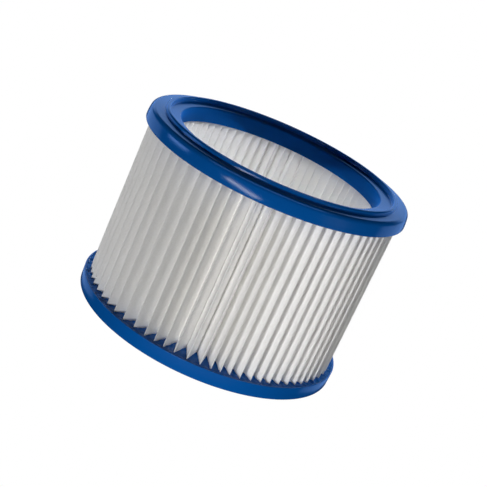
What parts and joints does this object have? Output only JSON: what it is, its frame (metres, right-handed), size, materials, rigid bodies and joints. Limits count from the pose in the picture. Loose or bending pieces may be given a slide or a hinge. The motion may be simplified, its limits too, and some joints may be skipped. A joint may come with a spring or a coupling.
{
  "type": "vacuum cartridge filter",
  "caption": "Round pleated cartridge filter for a vacuum cleaner: white fleece pleats potted between blue cast end rings, the upper one with a raised sealing rim around its bore.",
  "frame": {"origin": "centre of the face that the bottom end cap stands on", "axes": "+Z along the filter's axis, towards the raised sealing rim; -Y towards the picture's camera"},
  "size_m": [0.187, 0.187, 0.135],
  "materials": {
    "cast_polyurethane": "smooth glossy cast polyurethane, saturated mid blue",
    "polyester_fleece": "matt white spunbond polyester fleece, folded to sharp pleats"
  },
  "bodies": {
    "root": {"top_end_cap": "cast_polyurethane", "pleated_media": "polyester_fleece", "bottom_end_cap": "cast_polyurethane"}
  },
  "joints": []
}
